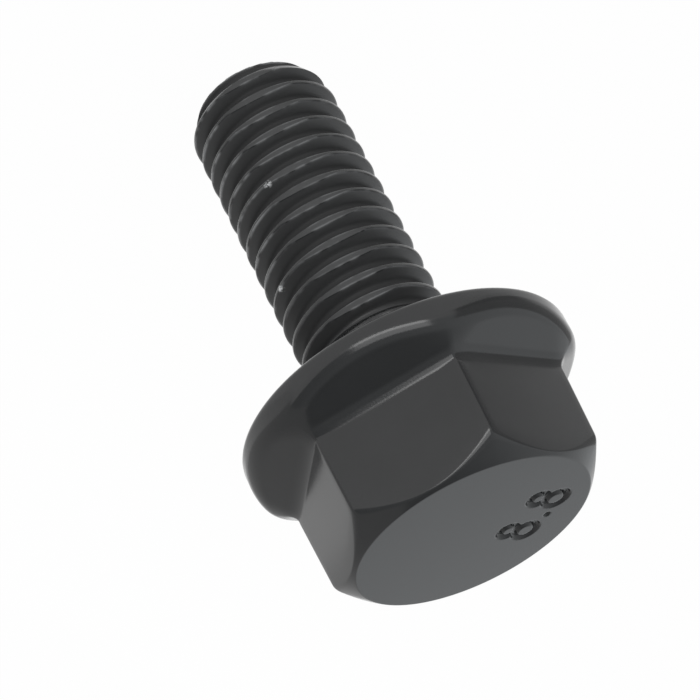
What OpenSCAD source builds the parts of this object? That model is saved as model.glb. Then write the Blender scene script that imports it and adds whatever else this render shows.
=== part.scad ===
// Hexagon flange bolt: one cold-forged steel piece with a rolled right-hand thread.
// It stands on the flat tip of its thread with the head up. Z is the bolt's axis,
// and one corner of the hexagon points along +X. Lengths are in millimetres.

/* [Shank] */
// Length from the tip to the underside of the flange
shank_l = 20; // [14:0.5:60]
// Diameter over the thread crests
thread_d = 7.9; // [7.7:0.05:8.3]
// Axial distance from one thread crest to the next
pitch = 1.25; // [1:0.05:1.5]
// Angle round the axis at which a crest meets the plane of the tip
thread_start = 317; // [0:1:359]
// Diameter of the flat end at the tip
tip_d = 6.5; // [5:0.1:7]
// Angle between the cone of the tip and the axis
tip_angle = 30; // [20:1:50]
// Diameter of the plain neck under the flange, which is that of the bar before rolling
neck_d = 7.1; // [6.9:0.05:7.5]
// Length of the plain neck, measured from the underside of the flange
neck_l = 2; // [1:0.1:4]
// Radius of the fillet between the neck and the flange
neck_fillet = 0.4; // [0.2:0.05:0.8]

/* [Flange] */
// Diameter of the flange
flange_d = 17.3; // [16.4:0.1:20]
// Height of the rim in the middle of each flat of the hexagon
rim_h = 1.18; // [1:0.02:1.4]
// Height of the rim at the corners of the hexagon, before its edge is rounded
corner_rim_h = 1.24; // [1.1:0.02:1.6]
// Radius on the upper edge of the rim
rim_round = 1; // [0.4:0.05:1.2]
// Radius on the lower edge of the rim
seat_round = 0.3; // [0.1:0.05:0.5]
// Slope of the flange's upper side in front of each flat, which falls away towards the rim
flange_slope = 30; // [24:1:34]
// Slope of the cone that trims the ridges between those sides
ridge_slope = 41; // [36:1:46]

/* [Hexagon] */
// Width across the flats at their foot
across_flats = 13; // [12:0.1:13.4]
// Height of the head, from the underside of the flange to the end face
head_h = 7.9; // [6.5:0.1:10]
// Lean of each flat towards the axis
draft = 2.5; // [0:0.25:4]
// Radius of the hollow at the foot of each flat
foot_fillet = 1; // [0.6:0.1:1.4]
// Diameter of the round end face
end_d = 12.1; // [10.5:0.1:12.4]
// Angle of the chamfer round the end face, measured from that face
chamfer_angle = 42; // [20:1:50]

/* [Hidden] */

steel = [0.2, 0.205, 0.21];
round_facets = 96;
margin = 1;
sink = 0.05;
bite = 0.005;

flange_r = flange_d / 2;
seat_z = shank_l;
end_z = shank_l + head_h;
rim_z = seat_z + rim_h;
corner_rim_z = seat_z + corner_rim_h;

// The thread's form: flat crests and roots, as shares of the pitch, and flanks that lean both ways
crest_share = 1 / 8;
root_share = 1 / 4;
flank_lean = 30;
flank_run = (1 - crest_share - root_share) / 2 * pitch;
crest_r = thread_d / 2;
root_r = crest_r - flank_run / tan(flank_lean);
thread_segments = 36;

// The form's points: both edges of the crest and both edges of the root, placed as shares of the pitch
form_r = [crest_r, crest_r, root_r, root_r];
form_share = [-crest_share / 2, crest_share / 2, (1 - root_share) / 2, (1 + root_share) / 2];
form_points = len(form_share);

// The last turn runs out into the neck, and the thread's own end lies hidden inside it
neck_r = neck_d / 2;
neck_z = seat_z - neck_l;
runout_l = pitch;
core_r = neck_r - sink;
thread_bottom = -pitch * (1 + thread_start / 360);
thread_turns = ceil((neck_z - thread_bottom) / pitch + crest_share) + 1;

// The hexagon's flats, and the angle from the middle of a flat to a corner
flats = 6;
flat_step = 360 / flats;
corner_angle = flat_step / 2;

// One half of the hexagon's section: a leaning flat and the flange's slope, with a hollow between
flat_dir = [-sin(draft), cos(draft)];
slope_dir = [cos(flange_slope), -sin(flange_slope)];
slope_lean = tan(flange_slope) * tan(draft);
foot_a = (across_flats / 2 - flange_r * slope_lean) / (1 - slope_lean);
foot = [foot_a, rim_z + (flange_r - foot_a) * tan(flange_slope)];
hollow_angle = 90 + draft + flange_slope;
hollow_reach = foot_fillet / tan(hollow_angle / 2);
hollow_top = foot + hollow_reach * flat_dir;
hollow_base = foot + hollow_reach * slope_dir;
hollow_axis = hollow_base + foot_fillet * [sin(flange_slope), cos(flange_slope)];

// The rim's upper round: short straight steps from the side of the rim into the ridges' cone
rim_axis = [flange_r - rim_round, corner_rim_z - rim_round / tan((90 + ridge_slope) / 2)];
rim_steps = 5;
rim_curve = [
    for (step = [0:rim_steps])
        let (turn = (90 - ridge_slope) * step / rim_steps)
        rim_axis + rim_round * [cos(turn), sin(turn)]
];

// The ridges' cone ends at a waist that just holds the corners of the hexagon
waist_r = foot_a / cos(corner_angle) + sink;

// Share of the thread's form that is lost to the runout at a height
function runout(z) = min(1, max(0, (z - neck_z + runout_l) / runout_l));

// One point of the thread's surface: row along the form, column round the axis
function thread_point(row, column) =
    let (
        turn = floor(row / form_points),
        k = row % form_points,
        z = thread_bottom + pitch * (turn + form_share[k] + column / thread_segments),
        fade = runout(z),
        r = form_r[k] * (1 - fade) + core_r * fade,
        angle = 360 * column / thread_segments
    )
    [r * cos(angle), r * sin(angle), z];

// Number of the point in a row and a column; after a full turn a row joins the same row of the next turn
function thread_index(row, column) =
    column < thread_segments
        ? row * thread_segments + column
        : (row + form_points) * thread_segments + column - thread_segments;

// Solid helical thread with two slanting ends, which are closed by fans from points on the axis
module thread_body() {
    rows = form_points * thread_turns;
    last = rows - form_points;
    low = rows * thread_segments;
    high = low + 1;
    points = concat(
        [for (row = [0:rows - 1], column = [0:thread_segments - 1]) thread_point(row, column)],
        [[0, 0, thread_bottom]],
        [[0, 0, thread_bottom + pitch * thread_turns]]
    );
    side = [
        for (row = [0:last - 1], column = [0:thread_segments - 1])
            let (
                a = thread_index(row, column),
                b = thread_index(row, column + 1),
                c = thread_index(row + 1, column + 1),
                d = thread_index(row + 1, column)
            )
            each [[a, c, b], [a, d, c]]
    ];
    low_rim = [
        for (column = [0:thread_segments - 1])
            [low, thread_index(0, column), thread_index(0, column + 1)]
    ];
    low_step = [
        for (row = [0:form_points - 1])
            [low, thread_index(row + 1, 0), thread_index(row, 0)]
    ];
    high_rim = [
        for (column = [0:thread_segments - 1])
            [high, thread_index(last, column + 1), thread_index(last, column)]
    ];
    high_step = [
        for (row = [last:rows - 1])
            [high, thread_index(row, 0), thread_index(row + 1, 0)]
    ];
    polyhedron(points = points, faces = concat(side, low_rim, low_step, high_rim, high_step));
}

// Everything that the coned tip leaves of the thread
module tip_envelope() {
    wide_r = crest_r + margin;
    rotate_extrude($fn = round_facets)
        polygon([
            [0, 0],
            [tip_d / 2, 0],
            [wide_r, (wide_r - tip_d / 2) / tan(tip_angle)],
            [wide_r, seat_z + margin],
            [0, seat_z + margin]
        ]);
}

// Plain neck with its fillet, running up into the head
module neck() {
    translate([0, 0, neck_z])
        cylinder(h = neck_l + margin, r = neck_r, $fn = round_facets);
    rotate_extrude($fn = round_facets)
        difference() {
            translate([neck_r - margin, seat_z - neck_fillet])
                square([margin + neck_fillet, neck_fillet + margin]);
            translate([neck_r + neck_fillet, seat_z - neck_fillet])
                circle(r = neck_fillet, $fn = round_facets);
        }
}

// What is cut away beside one flat: a leaning wall and a sloping floor that meet in a rounded corner,
// which bites a little into both of them
module flat_cutter(turn) {
    far = flange_d;
    high = end_z + far;
    rotate([0, 0, turn])
        rotate([90, 0, 0])
            linear_extrude(height = 2 * flange_d, center = true) {
                difference() {
                    polygon([
                        [foot[0] - (high - foot[1]) * tan(draft), high],
                        foot,
                        [far, rim_z - (far - flange_r) * tan(flange_slope)],
                        [far, high]
                    ]);
                    polygon([hollow_top, hollow_axis, hollow_base, 2 * foot - hollow_axis]);
                }
                translate(hollow_axis)
                    circle(r = foot_fillet + bite, $fn = round_facets);
            }
}

// Turned outline of the head: the flat seat, the rounded rim, the ridges' cone and the chamfered end
module head_envelope() {
    chamfer_z = end_z - (waist_r - end_d / 2) * tan(chamfer_angle);
    waist_z = corner_rim_z + (flange_r - waist_r) * tan(ridge_slope);
    rotate_extrude($fn = round_facets)
        union() {
            polygon(concat(
                [
                    [0, seat_z],
                    [flange_r - seat_round, seat_z],
                    [flange_r - seat_round, seat_z + seat_round],
                    [flange_r, seat_z + seat_round]
                ],
                rim_curve,
                [
                    [waist_r, waist_z],
                    [waist_r, chamfer_z],
                    [end_d / 2, end_z],
                    [0, end_z]
                ]
            ));
            translate([flange_r - seat_round, seat_z + seat_round])
                circle(r = seat_round, $fn = round_facets);
        }
}

// Hexagon that flares into the flange, with a trimmed ridge running from each corner to the rim
module head() {
    difference() {
        head_envelope();
        for (flat = [0:flats - 1])
            flat_cutter(corner_angle + flat_step * flat);
    }
}

module bolt() {
    color(steel)
        union() {
            head();
            neck();
            intersection() {
                thread_body();
                tip_envelope();
            }
        }
}

bolt();
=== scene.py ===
"""Hexagon flange bolt in black-oxide steel, standing on the tip of its thread.

The thread is swept by Geometry Nodes. The head is one skin of radial sections, and its end
face carries recessed numerals. Shapes are worked out in millimetres and scaled at the end.
"""

import math

import bmesh
import bpy
import numpy as np
from mathutils import Matrix, Vector
from mathutils.geometry import delaunay_2d_cdt


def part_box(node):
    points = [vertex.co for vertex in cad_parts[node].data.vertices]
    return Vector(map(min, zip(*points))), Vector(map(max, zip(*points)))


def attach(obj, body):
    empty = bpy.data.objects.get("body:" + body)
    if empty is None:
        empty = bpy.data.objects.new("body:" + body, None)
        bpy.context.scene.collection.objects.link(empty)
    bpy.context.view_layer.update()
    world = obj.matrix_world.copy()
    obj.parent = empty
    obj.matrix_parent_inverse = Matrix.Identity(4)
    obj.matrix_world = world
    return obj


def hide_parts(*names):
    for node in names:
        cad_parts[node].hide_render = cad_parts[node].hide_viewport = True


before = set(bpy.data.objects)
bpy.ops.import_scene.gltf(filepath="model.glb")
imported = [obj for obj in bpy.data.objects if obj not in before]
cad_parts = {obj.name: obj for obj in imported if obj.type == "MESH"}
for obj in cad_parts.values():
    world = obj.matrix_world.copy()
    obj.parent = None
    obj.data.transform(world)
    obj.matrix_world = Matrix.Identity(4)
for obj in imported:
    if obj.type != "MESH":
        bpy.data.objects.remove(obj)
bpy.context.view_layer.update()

MM = 0.001
bolt_low, bolt_high = (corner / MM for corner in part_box("bolt"))

# Lengths in millimetres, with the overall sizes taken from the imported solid
FLANGE_R = (bolt_high.x - bolt_low.x) / 2
END_Z = bolt_high.z
SEAT_Z = 20.0

# Thread
CREST_R = 3.95
PITCH = 1.25
CREST_SHARE = 1 / 8
ROOT_SHARE = 1 / 4
FLANK_SLOPE = math.tan(math.radians(60))
ROOT_R = CREST_R - (1 - CREST_SHARE - ROOT_SHARE) / 2 * PITCH * FLANK_SLOPE
THREAD_START = 317
CREST_ROUND = 0.05
ROOT_ROUND = 0.2
SEAM_DEPTH = 0.012
SEAM_SHARE = 0.03
RUNOUT = 1.25
TIP_R = 3.25
TIP_ANGLE = 30
TIP_BEVEL = 0.07
NECK_R = 3.55
NECK_Z = 18.0
NECK_FILLET = 0.4
ROWS_PER_TURN = 20
ROW_CROWDING = 0.5
THREAD_MERGE_GAP = 0.001
# The rolls left the crests unfilled along one side, so a flat shows there
UNFILLED_DEPTH = 0.2
UNFILLED_MIDDLE = math.radians(258)
UNFILLED_REACH = math.radians(28)

# Flange
SEAT_ROUND = 0.3
RIM_H = 1.18
CORNER_RIM_H = 1.5
RIM_ROUND = 1.0
FLANGE_SLOPE = math.radians(30)
RIDGE_SLOPE = math.radians(41)
RIDGE_SOFT = 0.25
RIDGE_FOOT = 0.2
FLANGE_ROWS = 40
FINE_PER_ROW = 10
MEET_TRIES = 12

# Hexagon
FLATS = 6
ACROSS_FLATS = 13.0
DRAFT = math.radians(2.5)
FOOT_FILLET = 1.0
END_R = 6.05
CHAMFER = math.radians(42)
CORNER_ROUND = 0.05
CHAMFER_ROUND_SHARE = 0.55
CHAMFER_ROUND_MOST = 1.0
END_ROUND = 0.12
CORNER_COLUMNS = 3
FLAT_COLUMNS = 26
COLUMNS = FLATS * (FLAT_COLUMNS + 2 * CORNER_COLUMNS)
LEDGE = 0.05
FLAT_TOLERANCE = 1e-7
MERGE_GAP = 0.0005
SHARP_ANGLE = math.radians(50)

# Numerals on the end face
NUMERAL_PLACE = (-2.65, 1.52)
NUMERAL_TURN = math.radians(215)
NUMERAL_FIELD = (4.8, 3.0)
NUMERAL_STEP = 0.05
NUMERAL_DEPTH = 0.2
STROKE = 0.16
STROKE_SOFT = 0.06
DIGIT_PLACES = (-1.3, 1.3)
DIGIT_RINGS = ((0.57, 0.47), (-0.56, 0.6))
POINT_PLACE = (0.0, -1.0)

# Wear and painted highlight on the thread's crests, where each nick has an angle and a height
NICKS = ((math.radians(-78.7), 7.52), (math.radians(-46.5), 12.64))
NICK_SIZE = 0.3
EDGE_WIDTH = 0.032
TIP_EDGE = 0.1
TIP_RUBBED = 0.6
# Share on the tip-side edge; the head-side edge gets the full share, a painted highlight where the
# front light falls on it
LOWER_EDGE_SHARE = 0.6
# Share of bare steel on the crests' edges, partly wear and partly painted highlight: at least, and
# what is added on and past the unfilled side.
# Places round the axis count from the middle of that side, in units of its reach.
RUBBED = 0.15
RUBBED_AND_HIGHLIT_MORE = 0.18
MORE_FROM = -1.2
MORE_OVER = 0.6
RUBBED_AND_HIGHLIT_MOST = 0.25
MOST_FROM = 1.1
MOST_OVER = 0.4
# Near the head, past the middle of that side, most of it is taken away again: painted shade where the
# flange shades the crests
HEAD_SHADE_LOSS = 0.8
FADE_FROM_Z = 10
FADE_OVER_Z = 5
FADE_FROM = 0.2
FADE_OVER = 0.6
RUNOUT_SOFT = 0.3
RESIDUE_SOFT = 0.04
# How far the root layer reaches, which carries painted shade and extra roughness in the thread's roots
ROOT_REACH = 0.3
ROOT_SOFT = 0.2

# Finish: linear colours and how much of them shows, then roughness and noise
COAT_DARK = (0.0155, 0.0158, 0.0162, 1)
COAT_PALE = (0.0205, 0.0212, 0.0220, 1)
RESIDUE = (0.04, 0.0403, 0.0406, 1)
# Darker colour in the thread's roots: painted shade
ROOT_PAINTED_SHADE = (0.014, 0.0142, 0.0144, 1)
ROOT_SHADE_AMOUNT = 0.9
# Paler colour on the unfilled crest flats: partly wear, partly painted highlight on the side that
# faces the camera and the front panels
UNFILLED_WEAR_AND_HIGHLIGHT = (0.05, 0.051, 0.052, 1)
UNFILLED_WEAR_AND_HIGHLIGHT_AMOUNT = 0.65
# Bare steel on the crests' edges and the tip: wear, and on the crests partly painted highlight
RUBBED_STEEL_AND_HIGHLIGHT = (0.4, 0.405, 0.41, 1)
FRESH_STEEL = (0.7, 0.705, 0.71, 1)
COAT_ROUGHNESS = (0.09, 0.19)
FLANK_DULLNESS = 0.28
ROOT_DULLNESS = 0.3
# Each noise has a scale, a detail and a roughness
MOTTLE = (420.0, 5.0, 0.6)
GRAIN = (9000.0, 3.0, 0.6)
GRAIN_STRENGTH = 0.1
GRAIN_DEPTH = 0.02
BREAKS = (1100.0, 1.0, 0.5)
BREAK_EDGES = (0.42, 0.58)
RAGGED = (5000.0, 2.0, 0.7)
RAGGED_EDGES = (0.47, 0.57)

# Camera and studio
CAMERA_AIM = (1.36, 0.0, 15.97)
CAMERA_AZIMUTH = math.radians(-8.27)
CAMERA_ELEVATION = math.radians(29.56)
CAMERA_ROLL = math.radians(153.31)
CAMERA_DISTANCE = 101.6
CAMERA_LENS = 105.0
FLOOR_SIZE = 4000.0
SIDE_LEVEL = 0.7
BACK_GAIN = 0.2
RIGHT_GAIN = 0.3
GLOW_TOWARDS = (-0.394, 0.682, 0.616)
GLOW_GAIN = 0.2
GLOW_EDGES = (0.94, 0.995)
TOP_LOSS = 0.36
TOP_FROM = 0.75
# Each panel has a place, a size and an energy, and faces the bolt's axis
PANELS = (
    ((-30, -114, 15), (90, 24), 0.0285),
    ((-30, -114, 52), (90, 50), 0.0254),
)
CARD_FRONT = -30
CARD_BACK = 80
# Each card has an X, two Y between which its level changes, the level at each of them, and its Z range
CARDS = (
    (-46, (8, 20), (0.32, 0.8), (0, 12)),
    (-46, (8, 20), (0.42, 0.5), (12, 36)),
    (35, (-10, 60), (0.8, 0.8), (0, 10.5)),
    (35, (-10, 100), (0.58, 0.58), (10.5, 100)),
)
FLOOR_WHITE = 0.98
FLOOR_PALE = (0.86, 0.86, 0.86, 1)
AIR = (0.97, 1.0, 1.02, 1)


class NodeBuilder:
    """Adds nodes to a tree, and links or sets their inputs."""

    def __init__(self, tree):
        self.tree = tree

    def node(self, kind, values=None, **settings):
        made = self.tree.nodes.new(kind)
        for name, value in settings.items():
            setattr(made, name, value)
        for key, value in (values or {}).items():
            self.feed(made.inputs[key], value)
        return made

    def feed(self, socket, value):
        if isinstance(value, bpy.types.NodeSocket):
            self.tree.links.new(value, socket)
        else:
            socket.default_value = value

    def math(self, operation, *values, clamp=False):
        numbered = dict(enumerate(values))
        made = self.node("ShaderNodeMath", numbered, operation=operation, use_clamp=clamp)
        return made.outputs[0]


def thread_tree():
    """Node tree that sweeps a rounded 60 degree form round a helix, from the tip to the neck."""
    tree = bpy.data.node_groups.new("rolled_thread", "GeometryNodeTree")
    sizes = {
        "Crest radius": CREST_R,
        "Root radius": ROOT_R,
        "Pitch": PITCH,
        "Crest width": CREST_SHARE * PITCH,
        "Crest round": CREST_ROUND,
        "Root round": ROOT_ROUND,
        "Unfilled depth": UNFILLED_DEPTH,
        "Unfilled middle": UNFILLED_MIDDLE / (2 * math.pi),
        "Unfilled reach": UNFILLED_REACH / (2 * math.pi),
        "Seam depth": SEAM_DEPTH,
        "Seam width": SEAM_SHARE * PITCH,
        "Tip radius": TIP_R,
        "Tip slope": math.tan(math.radians(TIP_ANGLE)),
        "Neck radius": NECK_R,
        "Neck height": NECK_Z,
        "Runout": RUNOUT,
        "Bottom": -PITCH * (1 + THREAD_START / 360),
    }
    turns = math.ceil((NECK_Z - sizes["Bottom"]) / PITCH) + 1
    counts = {"Columns": COLUMNS, "Turns": turns, "Rows per turn": ROWS_PER_TURN}
    for name in sizes:
        tree.interface.new_socket(name, in_out="INPUT", socket_type="NodeSocketFloat")
    for name in counts:
        tree.interface.new_socket(name, in_out="INPUT", socket_type="NodeSocketInt")
    tree.interface.new_socket("Finish", in_out="INPUT", socket_type="NodeSocketMaterial")
    tree.interface.new_socket("Geometry", in_out="OUTPUT", socket_type="NodeSocketGeometry")

    build = NodeBuilder(tree)
    given = build.node("NodeGroupInput").outputs
    calc = build.math

    rows = calc("MULTIPLY_ADD", given["Turns"], given["Rows per turn"], 1.0)
    columns = calc("ADD", given["Columns"], 1.0)
    grid_values = {"Size X": 1.0, "Size Y": 1.0, "Vertices X": columns, "Vertices Y": rows}
    grid = build.node("GeometryNodeMeshGrid", grid_values)
    place = build.node("GeometryNodeInputPosition")
    across = build.node("ShaderNodeSeparateXYZ", {0: place.outputs[0]})
    around = calc("ADD", across.outputs["X"], 0.5)
    even_turn = calc("MULTIPLY", calc("ADD", across.outputs["Y"], 0.5), given["Turns"])

    # Rows crowd together at the crests and roots, and are wide apart on the flanks
    wave = calc("SINE", calc("MULTIPLY", even_turn, 4 * math.pi))
    turn = calc("MULTIPLY_ADD", wave, -ROW_CROWDING / (4 * math.pi), even_turn)
    nearest = calc("ROUND", turn)
    beside = calc("SUBTRACT", turn, nearest)

    # The crest is lower, and so wider, where it is not filled
    from_middle = calc("SUBTRACT", around, given["Unfilled middle"])
    off_middle = calc("DIVIDE", from_middle, given["Unfilled reach"])
    unfilled = calc("SUBTRACT", 1.0, calc("MULTIPLY", off_middle, off_middle), clamp=True)
    lost = calc("MULTIPLY", unfilled, given["Unfilled depth"])
    crest = calc("SUBTRACT", given["Crest radius"], lost)
    half_crest = calc("MULTIPLY", given["Crest width"], 0.5)
    wider = calc("DIVIDE", lost, calc("MULTIPLY", given["Pitch"], FLANK_SLOPE))

    # The row that lies on the crest's edge follows it, and its neighbours give way
    edge = calc("DIVIDE", half_crest, given["Pitch"])
    before_edge = calc("DIVIDE", calc("ABSOLUTE", beside), edge)
    from_root = calc("SUBTRACT", 0.5, calc("ABSOLUTE", beside))
    past_edge = calc("DIVIDE", from_root, calc("SUBTRACT", 0.5, edge))
    share = calc("MINIMUM", before_edge, past_edge)
    spread = calc("MULTIPLY_ADD", calc("MULTIPLY", wider, share), calc("SIGN", beside), beside)
    spread_turn = calc("ADD", nearest, spread)
    wound_turn = calc("ADD", spread_turn, around)
    height = calc("MULTIPLY_ADD", wound_turn, given["Pitch"], given["Bottom"])

    # Distance along the axis from the middle of the nearest crest
    from_crest = calc("MULTIPLY", calc("ABSOLUTE", spread), given["Pitch"])
    down_flank = calc("MULTIPLY", calc("SUBTRACT", from_crest, half_crest), FLANK_SLOPE)
    flank = calc("SUBTRACT", given["Crest radius"], down_flank)
    crested = calc("SMOOTH_MIN", crest, flank, given["Crest round"])
    formed = calc("SMOOTH_MAX", crested, given["Root radius"], given["Root round"])
    seam = calc("SUBTRACT", 1.0, calc("DIVIDE", from_crest, given["Seam width"]), clamp=True)
    rolled = calc("SUBTRACT", formed, calc("MULTIPLY", seam, given["Seam depth"]))

    # The form fades into the neck, and the cone of the tip cuts it
    below_neck = calc("SUBTRACT", given["Neck height"], height)
    fade = calc("SUBTRACT", 1.0, calc("DIVIDE", below_neck, given["Runout"]), clamp=True)
    to_neck = calc("SUBTRACT", given["Neck radius"], rolled)
    faded = calc("MULTIPLY_ADD", to_neck, fade, rolled)
    kept_height = calc("MINIMUM", calc("MAXIMUM", height, 0.0), given["Neck height"])
    cone = calc("MULTIPLY_ADD", kept_height, given["Tip slope"], given["Tip radius"])
    radius = calc("MINIMUM", faded, cone)

    angle = calc("MULTIPLY", around, 2 * math.pi)
    x = calc("MULTIPLY", radius, calc("COSINE", angle))
    y = calc("MULTIPLY", radius, calc("SINE", angle))
    wound = build.node("ShaderNodeCombineXYZ", {"X": x, "Y": y, "Z": kept_height})
    moved_values = {"Geometry": grid.outputs["Mesh"], "Position": wound.outputs[0]}
    moved = build.node("GeometryNodeSetPosition", moved_values)
    joined_values = {"Geometry": moved.outputs[0], "Distance": THREAD_MERGE_GAP}
    joined = build.node("GeometryNodeMergeByDistance", joined_values)
    real = build.node("GeometryNodeRealizeInstances", {"Geometry": joined.outputs[0]})
    finished_values = {"Geometry": real.outputs[0], "Material": given["Finish"]}
    finished = build.node("GeometryNodeSetMaterial", finished_values)
    build.node("NodeGroupOutput", {"Geometry": finished.outputs[0]})
    return tree, {**sizes, **counts}


def thread_mesh(finish):
    """The swept thread as a plain mesh, open at the tip and at the neck."""
    holder = bpy.data.objects.new("thread_holder", bpy.data.meshes.new("thread_holder"))
    bpy.context.scene.collection.objects.link(holder)
    tree, values = thread_tree()
    modifier = holder.modifiers.new("rolled_thread", "NODES")
    modifier.node_group = tree
    for name, value in {**values, "Finish": finish}.items():
        modifier[tree.interface.items_tree[name].identifier] = value
    depsgraph = bpy.context.evaluated_depsgraph_get()
    mesh = bpy.data.meshes.new_from_object(holder.evaluated_get(depsgraph), depsgraph=depsgraph)
    holder.modifiers.remove(modifier)
    bpy.data.objects.remove(holder)
    return mesh


def column_angles():
    """Angles of the head's columns: crowded round the hexagon's corners, even across its flats."""
    half_flat = math.atan((1 - CORNER_ROUND) * math.tan(math.pi / FLATS))
    corner = math.pi / FLATS - half_flat
    into_corner = np.arange(CORNER_COLUMNS) / CORNER_COLUMNS * corner
    along_flat = corner + np.arange(FLAT_COLUMNS) / FLAT_COLUMNS * 2 * half_flat
    out_of_corner = corner + 2 * half_flat + into_corner
    sector = np.concatenate([into_corner, along_flat, out_of_corner])
    return np.concatenate([sector + 2 * math.pi / FLATS * flat for flat in range(FLATS)])


def hexagon_reach(angle):
    """Distance to a hexagon of unit half width with rounded corners, one of them on +X."""
    step = 2 * math.pi / FLATS
    from_corner = np.abs((angle + step / 2) % step - step / 2)
    from_flat = step / 2 - from_corner
    half_flat = math.atan((1 - CORNER_ROUND) * math.tan(step / 2))
    centre = (1 - CORNER_ROUND) / math.cos(step / 2)
    sideways = np.minimum(centre * np.sin(from_corner), CORNER_ROUND)
    rounded = centre * np.cos(from_corner) + np.sqrt(CORNER_ROUND**2 - sideways**2)
    return np.where(from_flat < half_flat, 1 / np.cos(from_flat), rounded)


def arc(centre, radius, start, stop, steps):
    """Rows of a circular arc. The centre and the angles may differ from column to column."""
    share = np.linspace(0, 1, steps + 1)[:, None]
    angle = start + share * (stop - start)
    return centre[0] + radius * np.cos(angle), centre[1] + radius * np.sin(angle)


def line(first, last, steps):
    """Rows of a straight stretch between two points."""
    share = np.linspace(0, 1, steps + 1)[:, None]
    return first[0] + share * (last[0] - first[0]), first[1] + share * (last[1] - first[1])


def smooth_lower(first, second, soft):
    """The lower of two heights, with their crossing rounded."""
    near = np.maximum(soft - np.abs(first - second), 0) / soft
    return np.minimum(first, second) - near * near * soft / 4


class FlatSide:
    """Section square to a flat: the flange's slope, a hollow and the leaning flat."""

    slope = math.tan(FLANGE_SLOPE)
    lean = math.tan(DRAFT)
    rim_z = SEAT_Z + RIM_H
    foot_a = (ACROSS_FLATS / 2 - FLANGE_R * slope * lean) / (1 - slope * lean)
    foot_z = rim_z + (FLANGE_R - foot_a) * slope
    reach = FOOT_FILLET / math.tan((math.pi / 2 + DRAFT + FLANGE_SLOPE) / 2)
    base_a = foot_a + reach * math.cos(FLANGE_SLOPE)
    base_z = foot_z - reach * math.sin(FLANGE_SLOPE)
    axis_a = base_a + FOOT_FILLET * math.sin(FLANGE_SLOPE)
    axis_z = base_z + FOOT_FILLET * math.cos(FLANGE_SLOPE)
    top_a = foot_a - reach * math.sin(DRAFT)
    top_z = foot_z + reach * math.cos(DRAFT)

    def height(self, a):
        """Height of the slope or the hollow at a distance from the axis."""
        inside = np.sqrt(np.maximum(FOOT_FILLET**2 - (self.axis_a - a) ** 2, 0))
        on_slope = self.rim_z + (FLANGE_R - a) * self.slope
        return np.where(a < self.base_a, self.axis_z - inside, on_slope)

    def flange_height(self, radius, reach):
        """Height of the flange's upper side: slope and hollow, with ridges trimmed by a cone."""
        corner_r = self.top_a * reach
        into_foot = np.clip(corner_r + RIDGE_FOOT - radius, 0, RIDGE_FOOT)
        foot = RIDGE_FOOT - np.sqrt(RIDGE_FOOT**2 - into_foot**2)
        cone = SEAT_Z + CORNER_RIM_H + (FLANGE_R - radius) * math.tan(RIDGE_SLOPE) + foot
        return smooth_lower(self.height(radius / reach), cone, RIDGE_SOFT)

    def run(self, meet_r, reach, steps):
        """Rows from the rim's round up to the foot of the flat, evenly spaced on the surface."""
        corner_r = self.top_a * reach
        share = np.linspace(1, 0, FINE_PER_ROW * steps)[:, None] ** 2
        fine_r = corner_r + share * (meet_r - corner_r)
        fine_z = self.flange_height(fine_r, reach)
        fine_r = np.vstack([fine_r, corner_r])
        fine_z = np.vstack([fine_z, np.full(len(reach), self.top_z)])
        gone = np.cumsum(np.hypot(np.diff(fine_r, axis=0), np.diff(fine_z, axis=0)), axis=0)
        gone = np.vstack([np.zeros(len(reach)), gone])
        rows = np.linspace(0, 1, steps + 1)[:, None] * gone[-1]
        radius = [np.interp(rows[:, i], gone[:, i], fine_r[:, i]) for i in range(len(reach))]
        height = [np.interp(rows[:, i], gone[:, i], fine_z[:, i]) for i in range(len(reach))]
        return np.transpose(radius), np.transpose(height)


def blend_corner(before, corner, after, radius, steps):
    """Rows of an arc that rounds the corner between two straight stretches."""
    towards_before = np.array(before) - np.array(corner)
    towards_after = np.array(after) - np.array(corner)
    towards_before = towards_before / np.linalg.norm(towards_before, axis=0)
    towards_after = towards_after / np.linalg.norm(towards_after, axis=0)
    between = np.arccos(np.clip((towards_before * towards_after).sum(axis=0), -1, 1))
    middle = towards_before + towards_after
    middle = middle / np.linalg.norm(middle, axis=0)
    centre = np.array(corner) + middle * radius / np.sin(between / 2)
    first = np.array(corner) + towards_before * radius / np.tan(between / 2) - centre
    last = np.array(corner) + towards_after * radius / np.tan(between / 2) - centre
    start = np.arctan2(first[1], first[0])
    stop = np.arctan2(last[1], last[0])
    return arc(centre, radius, start, stop, steps)


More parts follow.
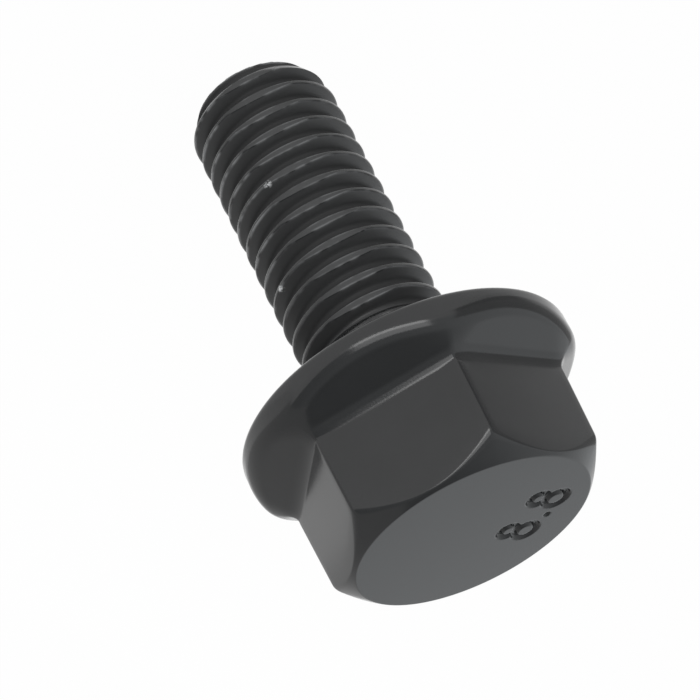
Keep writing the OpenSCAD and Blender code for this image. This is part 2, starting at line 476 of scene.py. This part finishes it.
def head_sections():
    """Radius, height and angle of each point of the head's skin, from the neck to the end face."""
    sector = column_angles()
    even = np.arange(COLUMNS) / COLUMNS * 2 * math.pi
    reach = hexagon_reach(sector)
    side = FlatSide()
    every = np.ones(COLUMNS)
    fillet_z = SEAT_Z - NECK_FILLET
    seat_r = NECK_R + NECK_FILLET
    inner_rim = FLANGE_R - RIM_ROUND
    seat_end = FLANGE_R - SEAT_ROUND
    seat_top = SEAT_Z + SEAT_ROUND

    # The rim's upper round meets the slope or the ridges' cone without a break
    near = 0.005
    meet_r = inner_rim * every
    for _ in range(MEET_TRIES):
        fall = side.flange_height(meet_r - near, reach) - side.flange_height(meet_r + near, reach)
        tilt = np.arctan(fall / (2 * near))
        meet_r = inner_rim + RIM_ROUND * np.sin(tilt)
    round_z = side.flange_height(meet_r, reach) - RIM_ROUND * np.cos(tilt)

    # The flat runs up to the chamfer's cone, and the cone up to the end face
    flat_start = (side.top_a * reach, side.top_z * every)
    cone_slope = math.tan(CHAMFER)
    lean = side.lean * reach
    flat_r_at_end = side.top_a * reach - (END_Z - side.top_z) * lean
    edge_r = (flat_r_at_end - lean * cone_slope * END_R) / (1 - lean * cone_slope)
    chamfer_edge = (edge_r, END_Z - (edge_r - END_R) * cone_slope)
    end_edge = (END_R * every, END_Z * every)
    axis_end = (0 * every, END_Z * every)

    chamfer_l = np.hypot(edge_r - END_R, END_Z - chamfer_edge[1])
    chamfer_round = np.minimum(CHAMFER_ROUND_SHARE * chamfer_l, CHAMFER_ROUND_MOST)
    chamfer_arc = blend_corner(flat_start, chamfer_edge, end_edge, chamfer_round, steps=8)
    end_arc = blend_corner(chamfer_edge, end_edge, axis_end, END_ROUND, steps=4)
    stretches = [
        line((NECK_R * every, NECK_Z * every), (NECK_R * every, fillet_z * every), steps=3),
        arc((seat_r, fillet_z), NECK_FILLET, math.pi * every, math.pi / 2 * every, steps=6),
        line((seat_r * every, SEAT_Z * every), (seat_end * every, SEAT_Z * every), steps=5),
        arc((seat_end, seat_top), SEAT_ROUND, -math.pi / 2 * every, 0 * every, steps=5),
        line((FLANGE_R * every, seat_top * every), (FLANGE_R * every, round_z), steps=2),
        arc((inner_rim, round_z), RIM_ROUND, 0 * every, math.pi / 2 - tilt, steps=14),
        side.run(meet_r, reach, FLANGE_ROWS),
        line(flat_start, (chamfer_arc[0][0], chamfer_arc[1][0]), steps=6),
        chamfer_arc,
        line((chamfer_arc[0][-1], chamfer_arc[1][-1]), (end_arc[0][0], end_arc[1][0]), steps=2),
        end_arc,
    ]
    radius = np.concatenate([stretches[0][0]] + [stretch[0][1:] for stretch in stretches[1:]])
    height = np.concatenate([stretches[0][1]] + [stretch[1][1:] for stretch in stretches[1:]])
    outward = np.clip((radius - seat_r) / (seat_end - seat_r), 0, 1)
    reached = np.maximum.accumulate(outward, axis=0)
    return radius, height, even + reached * (sector - even)


def ring_faces(rows, columns):
    """Quads between neighbouring rings of points."""
    here = np.arange(columns)
    ahead = np.roll(here, -1)
    return [
        (low * columns + a, low * columns + b, (low + 1) * columns + b, (low + 1) * columns + a)
        for low in range(rows - 1)
        for a, b in zip(here.tolist(), ahead.tolist())
    ]


def head_mesh():
    """Skin of the head from the neck to the rim of the end face."""
    radius, height, angle = head_sections()
    points = np.stack([radius * np.cos(angle), radius * np.sin(angle), height], axis=-1)
    mesh = bpy.data.meshes.new("head_skin")
    mesh.from_pydata(points.reshape(-1, 3).tolist(), [], ring_faces(*radius.shape))
    return mesh, points[-1]


def smooth_step(value):
    share = np.clip(value, 0, 1)
    return share * share * (3 - 2 * share)


def numeral_depth(along, up):
    """Depth of two digits and a point, each a rounded stroke, over the numerals' field."""
    nearest = np.hypot(along - POINT_PLACE[0], up - POINT_PLACE[1])
    for place in DIGIT_PLACES:
        for ring_up, ring_r in DIGIT_RINGS:
            off_ring = np.abs(np.hypot(along - place, up - ring_up) - ring_r)
            nearest = np.minimum(nearest, off_ring)
    return NUMERAL_DEPTH * smooth_step((STROKE + STROKE_SOFT - nearest) / (2 * STROKE_SOFT))


def end_face_mesh(rim):
    """Flat end face: a fine field that carries the numerals, and triangles from it to the rim."""
    columns = round(NUMERAL_FIELD[0] / NUMERAL_STEP) + 1
    rows = round(NUMERAL_FIELD[1] / NUMERAL_STEP) + 1
    along = np.linspace(-0.5, 0.5, columns) * NUMERAL_FIELD[0]
    up = np.linspace(-0.5, 0.5, rows) * NUMERAL_FIELD[1]
    along, up = np.meshgrid(along, up)
    cosine, sine = math.cos(NUMERAL_TURN), math.sin(NUMERAL_TURN)
    x = NUMERAL_PLACE[0] + along * cosine - up * sine
    y = NUMERAL_PLACE[1] + along * sine + up * cosine
    field = np.stack([x, y, END_Z - numeral_depth(along, up)], axis=-1).reshape(-1, 3)
    first_corners = [row * columns + cell for row in range(rows - 1) for cell in range(columns - 1)]
    cells = [(a, a + 1, a + 1 + columns, a + columns) for a in first_corners]
    number = np.arange(rows * columns).reshape(rows, columns)
    border = np.concatenate([number[0, :-1], number[:-1, -1], number[-1, :0:-1], number[:0:-1, 0]])

    outline = np.concatenate([rim[:, :2], field[border, :2]])
    loops = [(0, len(rim)), (len(rim), len(outline))]
    edges = []
    for start, stop in loops:
        edges += [(i, i + 1 if i + 1 < stop else start) for i in range(start, stop)]
    flat = delaunay_2d_cdt([Vector(point) for point in outline], edges, [], 0, FLAT_TOLERANCE)
    flat_points = np.array(flat[0])
    flat_faces = flat[2]
    around = []
    for face in flat_faces:
        middle = flat_points[face].mean(axis=0) - NUMERAL_PLACE
        middle_along = abs(middle[0] * cosine + middle[1] * sine)
        middle_up = abs(middle[1] * cosine - middle[0] * sine)
        if middle_along > NUMERAL_FIELD[0] / 2 or middle_up > NUMERAL_FIELD[1] / 2:
            around.append([len(field) + point for point in face])
    level = np.column_stack([flat_points, np.full(len(flat_points), END_Z)])
    mesh = bpy.data.meshes.new("end_face")
    mesh.from_pydata(np.concatenate([field, level]).tolist(), [], cells + around)
    return mesh


def turned_by(angle, middle):
    """Signed turn from one angle to others."""
    return (angle - middle + math.pi) % (2 * math.pi) - math.pi


def thread_layers(points):
    """Amounts from 0 to 1 at each point: unfilled crest with painted highlight, rubbed edge with
    painted highlight and shade, residue on the flank, root with painted shade.
    """
    radius = np.hypot(points[:, 0], points[:, 1])
    angle = np.arctan2(points[:, 1], points[:, 0]) % (2 * math.pi)
    off_middle = turned_by(angle, UNFILLED_MIDDLE) / UNFILLED_REACH
    unfilled = np.clip(1 - off_middle**2, 0, 1)
    lost = UNFILLED_DEPTH * unfilled
    on_thread = smooth_step((NECK_Z - RUNOUT - points[:, 2]) / RUNOUT_SOFT)
    turn = points[:, 2] / PITCH + 1 + THREAD_START / 360 - angle / (2 * math.pi)
    beside = (turn - np.round(turn)) * PITCH
    off_edge = np.abs(beside) - CREST_SHARE * PITCH / 2 - lost / FLANK_SLOPE
    on_crest = smooth_step(1 - off_edge / EDGE_WIDTH) * on_thread
    # The head-side edge gets the full share: painted highlight
    side = np.where(beside > 0, 1.0, LOWER_EDGE_SHARE)
    # Painted shade near the head, where the flange shades the crests
    near_head = smooth_step((points[:, 2] - FADE_FROM_Z) / FADE_OVER_Z)
    painted_head_shade = 1 - HEAD_SHADE_LOSS * near_head * smooth_step((off_middle - FADE_FROM) / FADE_OVER)
    more = RUBBED_AND_HIGHLIT_MORE * smooth_step((off_middle - MORE_FROM) / MORE_OVER)
    most = RUBBED_AND_HIGHLIT_MOST * smooth_step((off_middle - MOST_FROM) / MOST_OVER)
    rubbed = (RUBBED + more + most) * painted_head_shade
    edge = np.exp(-((off_edge / EDGE_WIDTH) ** 2)) * side * rubbed * on_thread
    on_rim = smooth_step((radius - TIP_R + 2 * TIP_EDGE) / TIP_EDGE)
    tip_edge = smooth_step(2 - points[:, 2] / TIP_EDGE) * on_rim
    return {
        "unfilled": unfilled * on_crest,
        "edge": np.maximum(edge, TIP_RUBBED * tip_edge),
        "residue": smooth_step(off_edge / RESIDUE_SOFT) * on_thread,
        "root": smooth_step((ROOT_R + ROOT_REACH - radius) / ROOT_SOFT) * on_thread,
    }


def bolt_piece(finish):
    """Thread, head and end face as one closed skin."""
    head, rim = head_mesh()
    inner_rim = rim.copy()
    inner_rim[:, :2] *= 1 - LEDGE / END_R
    skin = bmesh.new()
    for part in (thread_mesh(finish), head, end_face_mesh(inner_rim)):
        skin.from_mesh(part)
        bpy.data.meshes.remove(part)
    ledge = [[skin.verts.new(point) for point in ring] for ring in (rim, inner_rim)]
    for a in range(COLUMNS):
        b = (a + 1) % COLUMNS
        skin.faces.new((ledge[0][a], ledge[0][b], ledge[1][b], ledge[1][a]))
    bmesh.ops.remove_doubles(skin, verts=skin.verts, dist=MERGE_GAP)
    tip_edges = [edge for edge in skin.edges if edge.is_boundary]
    bmesh.ops.holes_fill(skin, edges=tip_edges, sides=0)
    tip_edges = [edge for edge in tip_edges if edge.is_valid]
    bevel = {"offset": TIP_BEVEL, "segments": 3, "profile": 0.5, "affect": "EDGES"}
    bmesh.ops.bevel(skin, geom=tip_edges, **bevel)
    bmesh.ops.recalc_face_normals(skin, faces=skin.faces)
    mesh = bpy.data.meshes.new("flange_bolt")
    skin.to_mesh(mesh)
    skin.free()
    points = np.empty(len(mesh.vertices) * 3)
    mesh.vertices.foreach_get("co", points)
    points = points.reshape(-1, 3)
    for name, amount in thread_layers(points).items():
        layer = mesh.attributes.new(name, "FLOAT", "POINT")
        layer.data.foreach_set("value", amount.astype(np.float32))
    mesh.transform(Matrix.Scale(MM, 4))
    mesh.shade_smooth()
    mesh.set_sharp_from_angle(angle=SHARP_ANGLE)
    mesh.materials.clear()
    mesh.materials.append(finish)
    piece = bpy.data.objects.new("flange_bolt", mesh)
    bpy.context.scene.collection.objects.link(piece)
    return piece


def near_nicks(build, place):
    """Amount from 0 to 1 of bare steel in the nicks on the thread."""
    amount = 0.0
    for angle, height in NICKS:
        centre = (CREST_R * math.cos(angle) * MM, CREST_R * math.sin(angle) * MM, height * MM)
        gap = build.node("ShaderNodeVectorMath", {0: place, 1: centre}, operation="DISTANCE")
        inside_values = {
            "Value": gap.outputs["Value"],
            "From Min": NICK_SIZE * MM,
            "From Max": NICK_SIZE * MM / 3,
        }
        inside = build.node("ShaderNodeMapRange", inside_values)
        amount = build.math("MAXIMUM", inside.outputs[0], amount)
    return amount


def black_oxide():
    """Black oxide: dark, glossy and faintly mottled, with a fine grain and bare steel where rubbed,
    painted highlight on the crests and painted shade in the thread's roots.
    """
    material = bpy.data.materials.new("black_oxide")
    material.use_nodes = True
    material.node_tree.nodes.clear()
    build = NodeBuilder(material.node_tree)

    def noise(scale, detail, roughness):
        values = {"Vector": place, "Scale": scale, "Detail": detail, "Roughness": roughness}
        return build.node("ShaderNodeTexNoise", values).outputs["Fac"]

    def spread(value, low, high):
        values = {"Value": value, "From Min": low, "From Max": high}
        return build.node("ShaderNodeMapRange", values).outputs[0]

    def blend(share, first, second):
        values = {"Factor": share, "A": first, "B": second}
        mixed = build.node("ShaderNodeMix", data_type="RGBA")
        for socket in mixed.inputs:
            if socket.enabled and socket.name in values:
                build.feed(socket, values[socket.name])
        return next(socket for socket in mixed.outputs if socket.enabled)

    def layer(name):
        return build.node("ShaderNodeAttribute", attribute_name=name).outputs["Fac"]

    place = build.node("ShaderNodeTexCoord").outputs["Object"]
    mottle = noise(*MOTTLE)
    grain = noise(*GRAIN)
    breaks = noise(*BREAKS)
    ragged = noise(*RAGGED)

    coat = blend(mottle, COAT_DARK, COAT_PALE)
    coat = blend(layer("residue"), coat, RESIDUE)
    # Darker roots: painted shade in the thread's roots
    coat = blend(build.math("MULTIPLY", layer("root"), ROOT_SHADE_AMOUNT), coat, ROOT_PAINTED_SHADE)
    # Paler unfilled crest flats: partly wear, partly painted highlight
    coat = blend(build.math("MULTIPLY", layer("unfilled"), UNFILLED_WEAR_AND_HIGHLIGHT_AMOUNT), coat, UNFILLED_WEAR_AND_HIGHLIGHT)
    # Bare steel on the crests' edges: partly wear, partly painted highlight, with painted shade near
    # the head
    bare = build.math("MULTIPLY", layer("edge"), spread(breaks, *BREAK_EDGES))
    coat = blend(bare, coat, RUBBED_STEEL_AND_HIGHLIGHT)
    nicked = build.math("MULTIPLY", near_nicks(build, place), spread(ragged, *RAGGED_EDGES))
    coat = blend(nicked, coat, FRESH_STEEL)

    sheen_values = {"Value": mottle, "To Min": COAT_ROUGHNESS[0], "To Max": COAT_ROUGHNESS[1]}
    sheen = build.node("ShaderNodeMapRange", sheen_values)
    dulled = build.math("MULTIPLY_ADD", layer("residue"), FLANK_DULLNESS, sheen.outputs[0])
    dulled = build.math("MULTIPLY_ADD", layer("root"), ROOT_DULLNESS, dulled)
    bump_values = {"Height": grain, "Strength": GRAIN_STRENGTH, "Distance": GRAIN_DEPTH * MM}
    bump = build.node("ShaderNodeBump", bump_values)
    shader_values = {
        "Base Color": coat,
        "Roughness": dulled,
        "Normal": bump.outputs[0],
    }
    shader = build.node("ShaderNodeBsdfPrincipled", shader_values)
    build.node("ShaderNodeOutputMaterial", {"Surface": shader.outputs[0]})
    return material


def white_share(build, most):
    """Share of plain white that a camera, glossy or transmission ray sees."""
    rays = build.node("ShaderNodeLightPath").outputs
    seen = build.math("MAXIMUM", rays["Is Camera Ray"], rays["Is Glossy Ray"])
    seen = build.math("MAXIMUM", seen, rays["Is Transmission Ray"])
    return build.math("MULTIPLY", seen, most)


def pale_floor():
    """Plain white floor, level with the tip of the bolt."""
    half = FLOOR_SIZE * MM / 2
    corners = [(-half, -half, 0), (half, -half, 0), (half, half, 0), (-half, half, 0)]
    mesh = bpy.data.meshes.new("floor")
    mesh.from_pydata(corners, [], [(0, 1, 2, 3)])
    material = bpy.data.materials.new("pale_floor")
    material.use_nodes = True
    material.node_tree.nodes.clear()
    build = NodeBuilder(material.node_tree)
    matt = build.node("ShaderNodeBsdfDiffuse", {"Color": FLOOR_PALE})
    white = build.node("ShaderNodeEmission", {"Color": (1, 1, 1, 1), "Strength": 1.0})
    mixed_values = {0: white_share(build, FLOOR_WHITE), 1: matt.outputs[0], 2: white.outputs[0]}
    mixed = build.node("ShaderNodeMixShader", mixed_values)
    build.node("ShaderNodeOutputMaterial", {"Surface": mixed.outputs[0]})
    mesh.materials.append(material)
    floor = bpy.data.objects.new("floor", mesh)
    bpy.context.scene.collection.objects.link(floor)


def surroundings():
    """Pale surroundings, palest behind and to the picture's right, with a glow, darker overhead."""
    world = bpy.data.worlds.new("studio")
    bpy.context.scene.world = world
    world.use_nodes = True
    world.node_tree.nodes.clear()
    build = NodeBuilder(world.node_tree)
    direction = build.node("ShaderNodeTexCoord").outputs["Generated"]
    towards = build.node("ShaderNodeSeparateXYZ", {0: direction}).outputs
    sides = build.math("MULTIPLY_ADD", towards["Y"], BACK_GAIN, SIDE_LEVEL)
    sides = build.math("MULTIPLY_ADD", towards["X"], -RIGHT_GAIN, sides)
    facing_values = {0: direction, 1: GLOW_TOWARDS}
    facing = build.node("ShaderNodeVectorMath", facing_values, operation="DOT_PRODUCT")

    def rising(value, low, high, most):
        values = {"Value": value, "From Min": low, "From Max": high, "To Max": most}
        made = build.node("ShaderNodeMapRange", values, interpolation_type="SMOOTHSTEP")
        return made.outputs[0]

    overhead = rising(towards["Z"], TOP_FROM, 1.0, TOP_LOSS)
    glow = rising(facing.outputs["Value"], *GLOW_EDGES, GLOW_GAIN)
    strength = build.math("SUBTRACT", sides, overhead)
    strength = build.math("ADD", strength, glow)
    pale = build.node("ShaderNodeBackground", {"Color": AIR, "Strength": strength})
    build.node("ShaderNodeOutputWorld", {"Surface": pale.outputs[0]})


def front_panel(place, size, energy):
    """Soft panel in front of the bolt, which draws the thin lights along its edges."""
    lamp = bpy.data.lights.new("panel", "AREA")
    lamp.shape = "RECTANGLE"
    lamp.size = size[0] * MM
    lamp.size_y = size[1] * MM
    lamp.energy = energy
    panel = bpy.data.objects.new("panel", lamp)
    panel.location = Vector(place) * MM
    towards = Vector((place[0], place[1], 0))
    panel.rotation_euler = towards.to_track_quat("Z", "Y").to_euler()
    panel.visible_camera = False
    bpy.context.scene.collection.objects.link(panel)


def grey_card(x, depths, levels, rise):
    """Softly glowing card beside the bolt, graded from front to back and unseen by the camera."""
    span = (CARD_FRONT, CARD_BACK)
    corners = [(x, span[a], rise[b]) for a, b in ((0, 0), (1, 0), (1, 1), (0, 1))]
    mesh = bpy.data.meshes.new("card")
    mesh.from_pydata([Vector(corner) * MM for corner in corners], [], [(0, 1, 2, 3)])
    material = bpy.data.materials.new("grey_card")
    material.use_nodes = True
    material.node_tree.nodes.clear()
    build = NodeBuilder(material.node_tree)
    coordinates = build.node("ShaderNodeTexCoord").outputs["Object"]
    place = build.node("ShaderNodeSeparateXYZ", {0: coordinates})
    graded_values = {
        "Value": place.outputs["Y"],
        "From Min": depths[0] * MM,
        "From Max": depths[1] * MM,
        "To Min": levels[0],
        "To Max": levels[1],
    }
    graded = build.node("ShaderNodeMapRange", graded_values)
    glow = build.node("ShaderNodeEmission", {"Color": (1, 1, 1, 1), "Strength": graded.outputs[0]})
    build.node("ShaderNodeOutputMaterial", {"Surface": glow.outputs[0]})
    mesh.materials.append(material)
    card = bpy.data.objects.new("card", mesh)
    card.visible_camera = False
    card.visible_shadow = False
    bpy.context.scene.collection.objects.link(card)


def view_axes(azimuth, elevation, roll=0.0):
    """Right, up and back of a view. Azimuth 0 looks along +Y."""
    level = math.cos(elevation)
    back = Vector((math.sin(azimuth) * level, -math.cos(azimuth) * level, math.sin(elevation)))
    right = Vector((0, 0, 1)).cross(back).normalized()
    up = back.cross(right)
    turned_right = right * math.cos(roll) + up * math.sin(roll)
    turned_up = up * math.cos(roll) - right * math.sin(roll)
    return turned_right, turned_up, back


def photo_camera():
    """Camera at the photo's viewing angle, rolled so that the head hangs down to the right."""
    axes = view_axes(CAMERA_AZIMUTH, CAMERA_ELEVATION, CAMERA_ROLL)
    data = bpy.data.cameras.new("camera")
    data.lens = CAMERA_LENS
    data.clip_start = 0.005
    data.clip_end = 20
    camera = bpy.data.objects.new("camera", data)
    bpy.context.scene.collection.objects.link(camera)
    place = (Vector(CAMERA_AIM) + axes[2] * CAMERA_DISTANCE) * MM
    camera.matrix_world = Matrix.Translation(place) @ Matrix(axes).transposed().to_4x4()
    bpy.context.scene.camera = camera


bpy.context.scene.view_settings.view_transform = "Standard"
photo_camera()
surroundings()
for panel in PANELS:
    front_panel(*panel)
for card in CARDS:
    grey_card(*card)
pale_floor()

flange_bolt = bolt_piece(black_oxide())
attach(flange_bolt, "root")
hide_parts("bolt")
